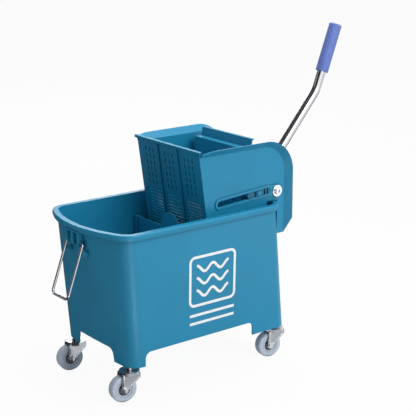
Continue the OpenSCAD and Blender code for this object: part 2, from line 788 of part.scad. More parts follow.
module yoke_cross_tube() color(chrome) at_bolt() translate([cross_u, 0, cross_w]) difference() {
    rod(cross_d, -yoke_out, yoke_out);
    rod(cross_d - 2 * tube_wall, -yoke_out - past, yoke_out + past);
}

// Lever tube: straight, a bend drawn a little thinner, straight, from the cross tube to the grip's end
module tube_ring(draw) difference() {
    circle(d = tube_d - 2 * draw);
    circle(d = tube_d - 2 * tube_wall - 2 * draw);
}

module lever_tube() color(chrome) at_bolt() translate([cross_u, 0, cross_w]) difference() {
    low = lever_low - bend_cut;
    high = top_len - bend_cut;
    lap = atan(past / lever_bend);
    rotate([0, lean_low, 0]) {
        linear_extrude(low) tube_ring(0);
        translate([-lever_bend, 0, low]) {
            rotate([0, lap, 0]) rotate([90, 0, 0]) rotate_extrude(angle = bend_turn + 2 * lap)
                translate([lever_bend, 0]) tube_ring(bend_draw);
            rotate([0, -bend_turn, 0]) translate([lever_bend, 0, 0]) linear_extrude(high) tube_ring(0);
        }
    }
    rod(cross_d, -2 * tube_d, 2 * tube_d);
}

// Grip: a plain sleeve with a closed, rounded end over the top of the tube
module lever_grip() color(grip_violet) at_bolt() translate([bend_u, 0, bend_w]) rotate([0, lean_high, 0])
    translate([0, 0, lever_high - grip_len]) difference() {
        rotate_extrude() {
            square([grip_r, grip_len - grip_edge]);
            square([grip_r - grip_edge, grip_len]);
            translate([grip_r - grip_edge, grip_len - grip_edge]) circle(grip_edge);
        }
        translate([0, 0, -past]) cylinder(d = tube_d, h = grip_len - grip_cap + past);
    }

// Pressing face with its ledge and lip, as one bent sheet
function face_u(w) = -press_back + w * tan(press_lean);
module press_section() {
    t = press_t;
    top_u = face_u(ledge_up);
    polygon([[face_u(-press_down), -press_down], [top_u, ledge_up], [top_u + ledge - t, ledge_up],
        [top_u + ledge, ledge_up + lip_h], [top_u + ledge + 2 * t, ledge_up + lip_h],
        [top_u + ledge + 2 * t, ledge_up + lip_h - t], [top_u + ledge + t, ledge_up + lip_h - t],
        [top_u + ledge, ledge_up - t], [top_u + t, ledge_up - t], [face_u(-press_down) + t, -press_down]]);
}

module press_plate() color(plastic) at_bolt() difference() {
    slab(-arm_in, press_w) press_section();
    slit = 2 * hole_len;
    rows = floor((ledge_up + press_down - slit) / (slit + row_step));
    columns = floor((press_w - 2 * hole_step) / hole_step);
    for (r = [0 : rows - 1], c = [0 : columns - 1])
        translate([face_u(0) - ledge, (c - (columns - 1) / 2) * hole_step - hole_w / 2,
            ledge_up - 2 * row_step - slit - r * (slit + row_step)]) cube([2 * ledge, hole_w, slit]);
}

// Arm behind each end of the press plate: guide shoe below, slot for the drive pin at the rear
module press_arm_outline() {
    back = press_t + skin;
    low = pin_w - arm_eye + past;
    polygon([[face_u(ledge_up - press_t) + back, ledge_up - press_t], [pin_u, pin_w + arm_eye], [pin_u, low],
        [pin_u - arm_eye, low], [shoe_mid + 1.5 * shoe_h, shoe_h], [shoe_mid + shoe_h, -shoe_h],
        [face_u(-shoe_h) + back, -shoe_h]]);
}

module pin_slot(w) rotate(slot_tilt) translate([stroke / 2, (pin_low + pin_r) / 2]) rotate(90)
    stadium(pin_r - pin_low + w, w);

module press_arm() color(plastic) difference() {
    union() {
        slab(arm_in, arm_t) press_arm_outline();
        slab(arm_in, arm_t) pin_slot(2 * arm_eye);
    }
    slab(arm_in - past, arm_t + 2 * past) {
        pin_slot(pin_d + 2 * pin_slip);
        rotate(slot_tilt) translate([shoe_mid, slot_rise]) circle(d = screw_d);
    }
}

module press_arm_right() at_bolt() press_arm();
module press_arm_left() at_bolt() mirrored() press_arm();

// Guide shoes that run in the side plates' slots, each held by a screw
module guide_shoe() color(plastic) rotate([0, -slot_tilt, 0]) translate([shoe_mid, 0, slot_rise])
    difference() {
        slab(arm_out, shoe_out - arm_out) difference() {
            stadium(shoe_len, shoe_h);
            circle(d = screw_d);
        }
        for (u = [-shoe_len / 6, shoe_len / 4, shoe_len * 3 / 8])
            translate([u - shoe_slit / 2, shoe_out - side_t, -shoe_h])
                cube([shoe_slit, side_t + past, 2 * shoe_h]);
    }

module guide_shoe_right() at_bolt() guide_shoe();
module guide_shoe_left() at_bolt() mirrored() guide_shoe();

module shoe_screws() color(plastic) at_bolt() both() rotate([0, -slot_tilt, 0])
    translate([shoe_mid, 0, slot_rise]) {
        rod(screw_d, arm_in - screw_head_h, shoe_out);
        rod(2 * screw_d, shoe_out, shoe_out + screw_head_h);
    }

bucket();
divider();
bail_handle();
caster(front_stem_x, -stem_y) caster_stem();  // caster_fl_stem
caster(front_stem_x, stem_y) caster_stem();  // caster_fr_stem
caster(rear_stem_x, -stem_y) caster_stem();  // caster_rl_stem
caster(rear_stem_x, stem_y) caster_stem();  // caster_rr_stem
caster(front_stem_x, -stem_y) caster_fork();  // caster_fl_fork
caster(front_stem_x, stem_y) caster_fork();  // caster_fr_fork
caster(rear_stem_x, -stem_y) caster_fork();  // caster_rl_fork
caster(rear_stem_x, stem_y) caster_fork();  // caster_rr_fork
caster(front_stem_x, -stem_y) caster_axle();  // caster_fl_axle
caster(front_stem_x, stem_y) caster_axle();  // caster_fr_axle
caster(rear_stem_x, -stem_y) caster_axle();  // caster_rl_axle
caster(rear_stem_x, stem_y) caster_axle();  // caster_rr_axle
caster(front_stem_x, -stem_y) caster_hub();  // caster_fl_hub
caster(front_stem_x, stem_y) caster_hub();  // caster_fr_hub
caster(rear_stem_x, -stem_y) caster_hub();  // caster_rl_hub
caster(rear_stem_x, stem_y) caster_hub();  // caster_rr_hub
caster(front_stem_x, -stem_y) caster_tyre();  // caster_fl_tyre
caster(front_stem_x, stem_y) caster_tyre();  // caster_fr_tyre
caster(rear_stem_x, -stem_y) caster_tyre();  // caster_rl_tyre
caster(rear_stem_x, stem_y) caster_tyre();  // caster_rr_tyre
wringer_side_left();
wringer_side_right();
strainer_front();
basket_floor();
rear_panel();
pivot_axle();
pivot_washers();
pivot_nut();
pivot_spacers();
yoke_arm_left();
yoke_arm_right();
yoke_bushes();
yoke_cross_tube();
drive_pins();
lever_tube();
lever_grip();
press_plate();
press_arm_left();
press_arm_right();
guide_shoe_left();
guide_shoe_right();
shoe_screws();
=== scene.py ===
import json
import math
from collections import namedtuple

import bmesh
import bpy
from mathutils import Matrix, Vector
from mathutils.bvhtree import BVHTree


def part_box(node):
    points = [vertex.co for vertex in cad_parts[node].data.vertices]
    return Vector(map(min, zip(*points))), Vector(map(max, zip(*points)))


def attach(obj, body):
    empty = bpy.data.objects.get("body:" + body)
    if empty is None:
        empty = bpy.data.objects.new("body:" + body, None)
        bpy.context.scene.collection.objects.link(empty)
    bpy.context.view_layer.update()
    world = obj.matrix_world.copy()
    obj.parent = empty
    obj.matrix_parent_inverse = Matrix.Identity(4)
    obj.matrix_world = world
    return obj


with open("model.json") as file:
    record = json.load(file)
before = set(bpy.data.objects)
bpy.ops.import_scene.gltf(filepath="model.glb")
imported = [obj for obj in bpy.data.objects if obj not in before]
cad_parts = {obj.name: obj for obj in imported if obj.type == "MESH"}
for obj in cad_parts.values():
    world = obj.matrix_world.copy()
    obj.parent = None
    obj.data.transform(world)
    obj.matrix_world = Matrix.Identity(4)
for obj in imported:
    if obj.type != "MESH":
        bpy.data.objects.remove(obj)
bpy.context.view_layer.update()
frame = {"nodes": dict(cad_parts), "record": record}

nodes = frame["nodes"]
record = frame["record"]
joints = {joint["name"]: joint for joint in record["behaviour"]["joints"]}

# Directions in the frame: x runs to the rear, y to the far side and z up
UP = Vector((0.0, 0.0, 1.0))
DOWN = Vector((0.0, 0.0, -1.0))
TO_REAR = Vector((1.0, 0.0, 0.0))
TO_FAR = Vector((0.0, 1.0, 0.0))
TO_NEAR = Vector((0.0, -1.0, 0.0))


# Colours
def srgb(red, green, blue):
    """A colour given in 0 to 255 as the linear values that shaders take."""
    def one(value):
        value /= 255
        return value / 12.92 if value <= 0.04045 else ((value + 0.055) / 1.055) ** 2.4
    return (one(red), one(green), one(blue), 1.0)


def grey(tone):
    """A grey given in 0 to 255."""
    return srgb(tone, tone, tone)


def scaled(color, factor):
    """A colour made darker or lighter."""
    return tuple(min(1.0, part * factor) for part in color[:3]) + (1.0,)


WHITE = (1.0, 1.0, 1.0, 1.0)
TEAL = srgb(24, 130, 168)
# A darker copy of the teal: painted shade for the guide shoes in the side plates' slots
SHADED_TEAL = scaled(TEAL, 0.55)
ZINC = srgb(222, 225, 230)
CHROME = srgb(232, 234, 238)
TYRE_GREY = srgb(186, 197, 212)
HUB_GREY = srgb(192, 200, 212)
GRIP_BLUE = srgb(99, 122, 197)
NYLON_BLUE = srgb(74, 134, 160)
INK_WHITE = srgb(236, 240, 242)


# Materials: noise scales are grains a metre, bump distances and reaches are metres
class Finish:
    """A material built from nodes, with short names for the nodes used here."""

    CREVICE_SAMPLES = 6

    def __init__(self, name):
        self.material = bpy.data.materials.new(name)
        self.material.use_nodes = True
        self.tree = self.material.node_tree
        self.shader = self.tree.nodes["Principled BSDF"]
        self.place = self.add("ShaderNodeTexCoord").outputs["Object"]

    def add(self, kind, **inputs):
        """A new node with constants on its inputs."""
        node = self.tree.nodes.new(kind)
        for name, value in inputs.items():
            node.inputs[name].default_value = value
        return node

    def link(self, output, socket):
        """Joins an output to a socket."""
        self.tree.links.new(output, socket)

    def noise(self, scale, detail=3.0, stretch=None):
        """Soft noise from 0 to 1, closer along an axis where the stretch is more than 1."""
        node = self.add("ShaderNodeTexNoise", Scale=scale, Detail=detail)
        place = self.place
        if stretch:
            mapping = self.add("ShaderNodeMapping", Scale=stretch)
            self.link(place, mapping.inputs["Vector"])
            place = mapping.outputs["Vector"]
        self.link(place, node.inputs["Vector"])
        return node.outputs["Fac"]

    def cells(self, scale, output="Distance"):
        """Rounded cells, as the distance from their middles or as a colour for each."""
        node = self.add("ShaderNodeTexVoronoi", Scale=scale)
        self.link(self.place, node.inputs["Vector"])
        return node.outputs[output]

    def crevice_shade(self, reach):
        """Painted shade from ambient occlusion: from 0 on open ground to 1 deep in gaps and corners
        narrower than the reach.
        """
        node = self.add("ShaderNodeAmbientOcclusion", Distance=reach)
        node.samples = self.CREVICE_SAMPLES
        return self.ranged(node.outputs["AO"], low=1.0, high=0.0, start=0.30, end=0.85)

    def ranged(self, value, low=0.0, high=1.0, start=0.3, end=0.7):
        """A value that goes from low to high while the given one goes from start to end."""
        limits = {"From Min": start, "From Max": end, "To Min": low, "To Max": high}
        node = self.add("ShaderNodeMapRange", **limits)
        self.link(value, node.inputs["Value"])
        return node.outputs["Result"]

    def mixed(self, value, first, second):
        """Two colours, or a colour's output and a colour, mixed by a value from 0 to 1."""
        node = self.tree.nodes.new("ShaderNodeMix")
        node.data_type = "RGBA"
        self.link(value, node.inputs["Factor"])
        for socket, color in ((node.inputs["A"], first), (node.inputs["B"], second)):
            if isinstance(color, tuple):
                socket.default_value = color
            else:
                self.link(color, socket)
        return node.outputs["Result"]

    def bump(self, height, distance, strength):
        """Relief from a height."""
        node = self.add("ShaderNodeBump", Strength=strength, Distance=distance)
        self.link(height, node.inputs["Height"])
        self.link(node.outputs["Normal"], self.shader.inputs["Normal"])

    def set(self, **inputs):
        """Constants on the shader's own sockets, with underscores for the spaces in their names."""
        for name, value in inputs.items():
            self.shader.inputs[name.replace("_", " ")].default_value = value

    def color(self, output):
        """The shader's colour."""
        self.link(output, self.shader.inputs["Base Color"])

    def roughness(self, output):
        """The shader's roughness."""
        self.link(output, self.shader.inputs["Roughness"])


def moulded_plastic(name, color, gloss=0.38):
    """Satin moulded plastic: faint clouds in the colour, a fine skin, long scuffs and painted shade in the
    gaps.
    """
    look = Finish(name)
    clouds = look.ranged(look.noise(scale=7.0, detail=4.0))
    body = look.mixed(clouds, scaled(color, 0.94), scaled(color, 1.06))
    streaks = look.noise(scale=14.0, detail=6.0, stretch=(1.0, 1.0, 22.0))
    scuffs = look.ranged(streaks, high=0.25, start=0.62, end=0.80)
    worn = look.mixed(scuffs, body, scaled(color, 1.25))
    # Painted shade: the colour goes dark deep in gaps and corners
    look.color(look.mixed(look.crevice_shade(reach=0.009), worn, scaled(color, 0.30)))
    look.roughness(look.ranged(look.noise(scale=55.0, detail=4.0), low=0.34, high=0.44))
    look.bump(look.noise(scale=1300.0, detail=2.0), distance=0.0001, strength=0.25)
    look.set(IOR=1.49, Specular_IOR_Level=gloss)
    return look.material


def zinc_plate(name, color, waves=0.50, shade_reach=0.012):
    """Bright zinc on pressed steel: small spangles, painted shade in the gaps and a sheet that isn't quite
    flat.
    """
    look = Finish(name)
    spangle = look.ranged(look.cells(scale=420.0, output="Color"), start=0.2, end=0.8)
    bright = look.mixed(spangle, scaled(color, 0.94), scaled(color, 1.04))
    # Painted shade: the zinc goes dark in gaps narrower than the reach
    look.color(look.mixed(look.crevice_shade(shade_reach), bright, scaled(color, 0.16)))
    look.roughness(look.ranged(look.noise(scale=90.0, detail=4.0), low=0.12, high=0.22))
    sheet = look.noise(scale=110.0, detail=2.0, stretch=(1.0, 1.0, 0.15))
    look.bump(sheet, distance=0.0014, strength=waves)
    look.set(Metallic=1.0)
    return look.material


def chrome_plate(name, color):
    """Polished chrome with faint smudges."""
    look = Finish(name)
    smudges = look.ranged(look.noise(scale=30.0, detail=4.0))
    look.color(look.mixed(smudges, scaled(color, 0.93), color))
    look.roughness(look.ranged(look.noise(scale=45.0, detail=5.0), low=0.05, high=0.13))
    look.bump(look.noise(scale=160.0, detail=2.0), distance=0.00005, strength=0.15)
    look.set(Metallic=1.0)
    return look.material


def grey_rubber(name, color):
    """Matt rubber with fine speckles, dust, and painted shade in the gaps."""
    look = Finish(name)
    speckle = look.ranged(look.noise(scale=900.0, detail=4.0))
    body = look.mixed(speckle, scaled(color, 0.84), scaled(color, 1.10))
    dust = look.ranged(look.noise(scale=60.0, detail=5.0), high=0.45, start=0.50, end=0.75)
    dusty = look.mixed(dust, body, scaled(color, 1.25))
    # Painted shade: the rubber goes dark in gaps narrower than the reach; the lighter dust above is real
    look.color(look.mixed(look.crevice_shade(reach=0.006), dusty, scaled(color, 0.15)))
    look.roughness(look.ranged(look.noise(scale=120.0, detail=4.0), low=0.52, high=0.70))
    look.bump(look.noise(scale=800.0, detail=4.0), distance=0.00025, strength=0.45)
    return look.material


def grained_grip(name, color):
    """Soft plastic with a pebbled, leather-like skin, and painted shade in the seams between the pebbles.
    """
    look = Finish(name)
    pebbles = look.cells(scale=430.0)
    # Painted shade: the colour darkens from the pebbles' middles into the seams between them
    seam_shade = look.ranged(pebbles, start=0.15, end=0.75)
    look.color(look.mixed(seam_shade, scaled(color, 1.10), scaled(color, 0.72)))
    look.roughness(look.ranged(look.noise(scale=200.0), low=0.48, high=0.62))
    relief = look.ranged(pebbles, low=1.0, high=0.0, start=0.0, end=0.8)
    look.bump(relief, distance=0.0006, strength=0.55)
    return look.material


def printed_ink(name, color):
    """Screen-printed ink with an uneven coat."""
    look = Finish(name)
    coat = look.ranged(look.noise(scale=140.0, detail=5.0))
    look.color(look.mixed(coat, scaled(color, 0.90), color))
    look.roughness(look.ranged(look.noise(scale=300.0), low=0.42, high=0.56))
    look.bump(look.noise(scale=1500.0, detail=2.0), distance=0.00006, strength=0.20)
    return look.material


# One finish for each material slot of the record, and their own for pieces that look unlike their slot
FINISHES = {
    "teal_plastic": moulded_plastic("teal_plastic", TEAL),
    "zinc": zinc_plate("zinc", ZINC),
    "chrome": chrome_plate("chrome", CHROME),
    "tyre": grey_rubber("tyre", TYRE_GREY),
    "hub": grey_rubber("hub", HUB_GREY),
    "grip": grained_grip("grip", GRIP_BLUE),
    "nylon": moulded_plastic("nylon", NYLON_BLUE),
}
# The guide shoes are of the same teal plastic; their darker colour is painted shade for the slots they run
# in
SHOE = moulded_plastic("shoe_plastic", SHADED_TEAL)
# The bolt's zinc keeps its painted shade to the narrowest gaps
BOLT = zinc_plate("bolt_zinc", ZINC, waves=0.15, shade_reach=0.002)
OWN_FINISH = {
    "guide_shoe_left": SHOE,
    "guide_shoe_right": SHOE,
    "strainer_front": moulded_plastic("strainer_plastic", TEAL, gloss=0.15),
    "pivot_axle": BOLT,
    "pivot_washers": BOLT,
    "pivot_nut": BOLT,
}
INK = printed_ink("ink", INK_WHITE)


# Finishing of the solids: corners within the join reach and faces within the flat angle become one,
# edges past the sharp angle stay sharp, and edges past the round angle get a small round
JOIN_REACH = 1e-6
SHARP_ANGLE = math.radians(32)
FLAT_ANGLE = math.radians(0.5)
ROUND_ANGLE = math.radians(40)
ROUND_STEPS = 2
EDGE_ROUND = 0.0005
OWN_ROUND = {"bucket": 0.0012, "divider": 0.0008, "press_plate": 0.0008, "strainer_front": 0.0004}


def smooth_group():
    """Joins the faces of a solid and shades it smooth, except across its sharp edges."""
    group = bpy.data.node_groups.new("smooth_by_angle", "GeometryNodeTree")
    group.interface.new_socket("Geometry", in_out="INPUT", socket_type="NodeSocketGeometry")
    group.interface.new_socket("Geometry", in_out="OUTPUT", socket_type="NodeSocketGeometry")
    new = group.nodes.new
    link = group.links.new
    start = new("NodeGroupInput")
    end = new("NodeGroupOutput")
    merge = new("GeometryNodeMergeByDistance")
    merge.inputs["Distance"].default_value = JOIN_REACH
    plain = new("GeometryNodeRemoveAttribute")
    plain.inputs["Name"].default_value = "custom_normal"
    faces = new("GeometryNodeSetShadeSmooth")
    faces.domain = "FACE"
    edges = new("GeometryNodeSetShadeSmooth")
    edges.domain = "EDGE"
    edges.inputs["Shade Smooth"].default_value = False
    angle = new("GeometryNodeInputMeshEdgeAngle")
    sharp = new("FunctionNodeCompare")
    sharp.data_type = "FLOAT"
    sharp.operation = "GREATER_THAN"
    sharp.inputs["B"].default_value = SHARP_ANGLE
    link(angle.outputs["Unsigned Angle"], sharp.inputs["A"])
    link(sharp.outputs["Result"], edges.inputs["Selection"])
    chain = (start, merge, plain, faces, edges, end)
    for first, second in zip(chain, chain[1:]):
        link(first.outputs["Geometry"], second.inputs["Geometry"])
    return group


SMOOTH = smooth_group()


def smooth(obj):
    """Smooth shading, except across sharp edges."""
    obj.modifiers.new("smooth", "NODES").node_group = SMOOTH


def soften(obj, width):
    """Smooth shading and small rounds on a solid's edges."""
    smooth(obj)
    flat = obj.modifiers.new("flat", "DECIMATE")
    flat.decimate_type = "DISSOLVE"
    flat.angle_limit = FLAT_ANGLE
    edge = obj.modifiers.new("edge", "BEVEL")
    edge.width = width
    edge.segments = ROUND_STEPS
    edge.limit_method = "ANGLE"
    edge.angle_limit = ROUND_ANGLE
    edge.harden_normals = True


def paint(obj, material):
    """One material all over an object."""
    if not obj.material_slots:
        obj.data.materials.append(material)
    for slot in obj.material_slots:
        slot.material = material


for part in record["subparts"]:
    solid = nodes[part["node"]]
    paint(solid, OWN_FINISH.get(part["node"], FINISHES[part["material_slot"]]))
    soften(solid, OWN_ROUND.get(part["node"], EDGE_ROUND))


# What the pieces made here share: the bucket's faces, which are looked at from so far outside,
# and the way in which a mesh becomes an object
LOOK_FROM = 1.0
bucket_mesh = nodes["bucket"].data
bucket_tree = BVHTree.FromPolygons([vertex.co for vertex in bucket_mesh.vertices],
                                   [face.vertices for face in bucket_mesh.polygons])


def piece_from(mesh, name, material):
    """The object that a built mesh becomes."""
    bmesh.ops.recalc_face_normals(mesh, faces=mesh.faces)
    data = bpy.data.meshes.new(name)
    mesh.to_mesh(data)
    mesh.free()
    piece = bpy.data.objects.new(name, data)
    bpy.context.scene.collection.objects.link(piece)
    paint(piece, material)
    return piece


# Printed motif on the near wall: a rounded frame with waves, and plain stripes at drops below its middle
# Its points have two coordinates, along x and z of the frame of reference
MOTIF_AT = Vector((-0.081, 0.205))
FRAME_HALF = Vector((0.052, 0.047))
FRAME_ROUND = 0.010
CORNER_STEPS = 8
LINE = 0.0052
WAVE_HALF = 0.037
WAVE_HIGH = 0.0065
WAVE_PITCH = 0.024
WAVE_STEPS = 48
STRIPE_DROPS = (0.066, 0.082)
PRINT_THICK = 0.0002


def near_wall(point):
    """A point of the motif, taken straight back to the outside of the near wall."""
    start = Vector((MOTIF_AT.x + point.x, -LOOK_FROM, MOTIF_AT.y + point.y))
    return bucket_tree.ray_cast(start, TO_FAR)[0]


def frame_path():
    """Closed path of a rectangle with round corners."""
    inner = FRAME_HALF - Vector((FRAME_ROUND, FRAME_ROUND))
    path = []
    for corner, (side, rise) in enumerate(((1, 1), (-1, 1), (-1, -1), (1, -1))):
        middle = Vector((side * inner.x, rise * inner.y))
        for step in range(CORNER_STEPS + 1):
            angle = math.pi / 2 * (corner + step / CORNER_STEPS)
            path.append(middle + FRAME_ROUND * Vector((math.cos(angle), math.sin(angle))))
    return path


def wave_path(height):
    """Two waves from side to side at a height."""
    path = []
    for step in range(WAVE_STEPS + 1):
        share = 2 * step / WAVE_STEPS - 1
        path.append(Vector((WAVE_HALF * share, height + WAVE_HIGH * math.cos(2 * math.pi * share))))
    return path


def ribbon(mesh, path, closed):
    """A band of the line's width along a path, laid on the wall."""
    count = len(path)
    rows = []
    for index, point in enumerate(path):
        ahead = path[(index + 1) % count] if closed or index + 1 < count else point
        behind = path[index - 1] if closed or index else point
        along = (ahead - behind).normalized()
        across = Vector((-along.y, along.x)) * LINE / 2
        rows.append([mesh.verts.new(near_wall(point + side * across)) for side in (-1, 1)])
    pairs = list(zip(rows, rows[1:]))
    if closed:
        pairs.append((rows[-1], rows[0]))
    for (left, right), (next_left, next_right) in pairs:
        mesh.faces.new((left, next_left, next_right, right))


def printed_motif():
    """The ink of the frame, its three waves and the stripes."""
    mesh = bmesh.new()
    ribbon(mesh, frame_path(), True)
    for row in (-1, 0, 1):
        ribbon(mesh, wave_path(row * WAVE_PITCH), False)
    for drop in STRIPE_DROPS:
        ribbon(mesh, [Vector((side * FRAME_HALF.x, -drop)) for side in (-1, 1)], False)
    motif = piece_from(mesh, "printed_motif", INK)
    coat = motif.modifiers.new("coat", "SOLIDIFY")
    coat.thickness = 2 * PRINT_THICK
    coat.offset = 0.0
    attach(motif, "bucket")


printed_motif()


# Half-round beads: faces round each, and how far their flat side is sunk into the piece they lie on
HALF_ROUND_SIDES = 8
HALF_ROUND_SINK = 0.0006


def half_round(mesh, stations, half_wide, bulge):
    """A bead through stations: each a point, the way across, the way out and a share of the full size."""
    rings = []
    for point, across, outward, size in stations:
        ring = []
        for side in range(HALF_ROUND_SIDES + 1):
            angle = math.pi * (side / HALF_ROUND_SIDES - 0.5)
            rise = size * bulge * math.cos(angle) - HALF_ROUND_SINK
            shift = size * half_wide * math.sin(angle)
            ring.append(mesh.verts.new(point + rise * outward + shift * across))
        rings.append(ring)
    for first, second in zip(rings, rings[1:]):
        for side in range(HALF_ROUND_SIDES + 1):
            other = (side + 1) % (HALF_ROUND_SIDES + 1)
            mesh.faces.new((first[side], second[side], second[other], first[other]))
    for ring in (rings[0], rings[-1]):
        mesh.faces.new(ring)


# Rolled bead on the outside of the bucket's rim, from one rear corner round the front to the other
RIM_BEAD_HALF = 0.0048
RIM_BEAD_BULGE = 0.0020
RIM_BEAD_STEPS = 180
RIM_BEAD_REAR_GAP = 0.030


def rim_path():
    """Points and outward directions along the rim, found by looking at it from all round."""
    low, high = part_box("bucket")
    middle = Vector(((low[0] + high[0]) / 2, (low[1] + high[1]) / 2, high[2] - RIM_BEAD_HALF))
    last = high[0] - RIM_BEAD_REAR_GAP
    path = []
    for step in range(RIM_BEAD_STEPS + 1):
        angle = 2 * math.pi * step / RIM_BEAD_STEPS
        outward = Vector((math.cos(angle), math.sin(angle), 0.0))
        point, normal, _, _ = bucket_tree.ray_cast(middle + LOOK_FROM * outward, -outward)
        if point.x < last:
            path.append((point, Vector((normal.x, normal.y, 0.0)).normalized()))
    return path


def rim_bead():
    """The bead along the rim."""
    mesh = bmesh.new()
    stations = [(point, UP, outward, 1.0) for point, outward in rim_path()]
    half_round(mesh, stations, RIM_BEAD_HALF, RIM_BEAD_BULGE)
    bead = piece_from(mesh, "rim_bead", FINISHES["teal_plastic"])
    smooth(bead)
    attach(bead, "bucket")


rim_bead()


# Beads pressed into the caster forks, along the two free edges of each side plate
# A bead's hand is its side of the plate, and its start and end are shares of the edge, from the top down
# The taper pairs a share of the bead's length with the share of its full size that it has there
Rib = namedtuple("Rib", "hand half_wide bulge end")
TRAILING_RIB = Rib(hand=-1, half_wide=0.0018, bulge=0.0013, end=0.74)
LEADING_RIB = Rib(hand=1, half_wide=0.0013, bulge=0.0010, end=0.84)
RIB_START = 0.05
RIB_MARGIN = 0.0008
RIB_TAPER = ((0.0, 0.1), (0.04, 0.6), (0.10, 1.0), (0.90, 1.0), (0.96, 0.6), (1.0, 0.1))
SAME_PLACE = 1e-4
CASTERS = ("fl", "fr", "rl", "rr")


def fork_axes(corner):
    """A caster's swivel point, the middle of its axle, and the ways to the swivel and along the axle."""
    swivel = Vector(joints[f"caster_{corner}_swivel"]["pos_m"])
    roll = joints[f"wheel_{corner}_roll"]
    axle = Vector(roll["pos_m"])
    aside = Vector(roll["axis"]).normalized()
    ahead = aside.cross(UP)
    if ahead.dot(swivel - axle) < 0:
        ahead.negate()
    return swivel, axle, ahead, aside


def plate_edges(plate, eye):
    """The trailing and the leading edge of a side plate: rib, upper end and run down to the axle's eye."""
    eye_round = eye.x - min(place.x for place in plate)
    upper = [place for place in plate if place.y > eye.y + 2 * eye_round]
    trailing = min(upper, key=lambda place: place.x)
    lead = max(place.x for place in upper)
    leading = Vector((lead, min(place.y for place in upper if place.x > lead - SAME_PLACE)))
    edges = []
    for rib, start in ((TRAILING_RIB, trailing), (LEADING_RIB, leading)):
        edges.append((rib, start, eye + Vector((rib.hand * eye_round, 0.0)) - start))
    return edges


def fork_ribs(corner):
    """Two beads on each side of a caster's fork, found from the outline of its side plates."""
    swivel, axle, ahead, aside = fork_axes(corner)
    eye = Vector((ahead.dot(axle - swivel), axle.z - swivel.z))
    places = [vertex.co - swivel for vertex in nodes[f"caster_{corner}_fork"].data.vertices]
    reach = max(aside.dot(place) for place in places if place.z < eye.y)
    plate = [Vector((ahead.dot(place), place.z)) for place in places
             if abs(aside.dot(place) - reach) < SAME_PLACE]
    mesh = bmesh.new()
    for side in (-1, 1):
        for rib, start, run in plate_edges(plate, eye):
            inward = Vector((run.y, -run.x)).normalized() * rib.hand
            line = start + (rib.half_wide + RIB_MARGIN) * inward
            across = inward.x * ahead + inward.y * UP
            stations = []
            for share, size in RIB_TAPER:
                place = line + (RIB_START + (rib.end - RIB_START) * share) * run
                point = swivel + place.x * ahead + place.y * UP + side * reach * aside
                stations.append((point, across, side * aside, size))
            half_round(mesh, stations, rib.half_wide, rib.bulge)
    ribs = piece_from(mesh, f"caster_{corner}_ribs", FINISHES["zinc"])
    smooth(ribs)
    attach(ribs, f"caster_{corner}")


for corner in CASTERS:
    fork_ribs(corner)


# Lower end of the side plates' flared border, which runs on down the hook before it slants in
# A slant's rise is the height above the border's foot at which it meets the border's outer edge
FLARE = 0.012
PLATE_THICK = 0.003
PLATE_SLANT_RISE = 0.072
LOWER_SLANT_RISE = 0.030
SLANT_LAP = 0.003
COVER = 0.0001


def hook_flare(name, plate, side):
    """The piece of border between the plate's own slant and the lower one, on the side -1 or 1."""
    low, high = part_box(plate)
    root_x = high[0] - FLARE
    reach = max(abs(low[1]), abs(high[1])) - FLARE
    foot = min(vertex.co.z for vertex in nodes[plate].data.vertices if vertex.co.x > root_x - COVER)
    corners = (
        (0.0, 0.0),
        (FLARE, LOWER_SLANT_RISE),
        (FLARE, PLATE_SLANT_RISE + SLANT_LAP),
        (0.0, SLANT_LAP),
    )
    mesh = bmesh.new()
    skins = []
    for depth in (COVER, -PLATE_THICK - COVER):
        skins.append([mesh.verts.new((root_x + out, side * (reach + out + depth), foot + rise))
                      for out, rise in corners])
    outer, inner = skins
    mesh.faces.new(outer)
    mesh.faces.new(inner)
    for index in range(len(corners)):
        ahead = (index + 1) % len(corners)
        mesh.faces.new((outer[index], outer[ahead], inner[ahead], inner[index]))
    piece = piece_from(mesh, name, FINISHES["teal_plastic"])
    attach(piece, "wringer")


hook_flare("hook_flare_right", "wringer_side_right", -1)
hook_flare("hook_flare_left", "wringer_side_left", 1)


# Floor, cards, world and lamps of the studio
# The floor's glow is the share of plain white that it shows to each kind of ray
MATT = 0.9
FLOOR_SIZE = 60
FLOOR_SHADES = (srgb(206, 207, 209), srgb(214, 215, 217))
FLOOR_GLOW = {"Is Camera Ray": 0.94, "Is Glossy Ray": 0.45}
CARD_CLOUDS = 5.0
DARK_SPREAD = 8
BRIGHT_SHADES = (grey(240), grey(250))
AMBIENT = 0.42
LAMP_SIZE = 1.6
LAMP_AIM = Vector((0.0, 0.0, 0.25))


def stage_floor():
    """A pale floor that is nearly white to the camera and keeps the shadow."""
    bpy.ops.mesh.primitive_plane_add(size=FLOOR_SIZE)
    floor = bpy.context.object
    floor.name = "floor"
    look = Finish("floor")
    look.color(look.mixed(look.noise(scale=3.0), *FLOOR_SHADES))
    look.set(Roughness=MATT)
    glow = look.add("ShaderNodeEmission", Strength=1.0)
    path = look.add("ShaderNodeLightPath")
    share = look.add("ShaderNodeMath")
    share.operation = "MAXIMUM"
    for socket, (ray, ray_share) in zip(share.inputs, FLOOR_GLOW.items()):
        product = look.add("ShaderNodeMath")
        product.operation = "MULTIPLY"
        product.inputs[1].default_value = ray_share
        look.link(path.outputs[ray], product.inputs[0])
        look.link(product.outputs["Value"], socket)
    mix = look.add("ShaderNodeMixShader")
    look.link(share.outputs["Value"], mix.inputs["Fac"])
    look.link(look.shader.outputs["BSDF"], mix.inputs[1])
    look.link(glow.outputs["Emission"], mix.inputs[2])
    look.link(mix.outputs["Shader"], look.tree.nodes["Material Output"].inputs["Surface"])
    paint(floor, look.material)


